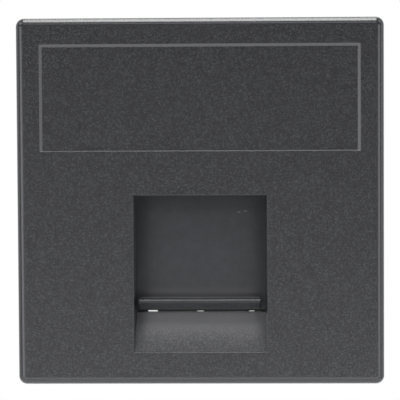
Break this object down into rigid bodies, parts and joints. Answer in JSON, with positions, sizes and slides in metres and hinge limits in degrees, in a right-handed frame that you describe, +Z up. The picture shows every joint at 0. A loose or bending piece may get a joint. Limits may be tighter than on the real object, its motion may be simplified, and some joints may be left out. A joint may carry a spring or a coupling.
{
  "type": "keystone faceplate module",
  "caption": "Square snap-in data faceplate with a sunken label field, a port for a keystone jack, a finger ramp and a sprung dust shutter that slides up to open.",
  "frame": {"origin": "centre of the flat ring behind the rim, where the plate rests on its support frame", "axes": "+X to the right seen from the front, +Y back into the wall, +Z up"},
  "size_m": [0.045, 0.013, 0.045],
  "materials": {
    "textured_plastic": "graphite, fine spark-eroded grain",
    "smooth_plastic": "graphite, smooth satin",
    "spring_steel": "drawn wire",
    "carrier_plastic": "graphite, plain moulded"
  },
  "bodies": {
    "plate": {"face_plate": "textured_plastic", "return_spring_left": "spring_steel", "return_spring_right": "spring_steel", "jack_carrier": "carrier_plastic"},
    "shutter": {"dust_shutter": "smooth_plastic"}
  },
  "joints": [
    {"name": "shutter_slide", "type": "slide", "parent": "plate", "child": "shutter", "axis": [0, 0, 1], "range_m": [0, 0.01275], "stiffness_N_per_m": 230, "springref_m": -0.003, "deforming": ["return_spring_left", "return_spring_right"]}
  ]
}
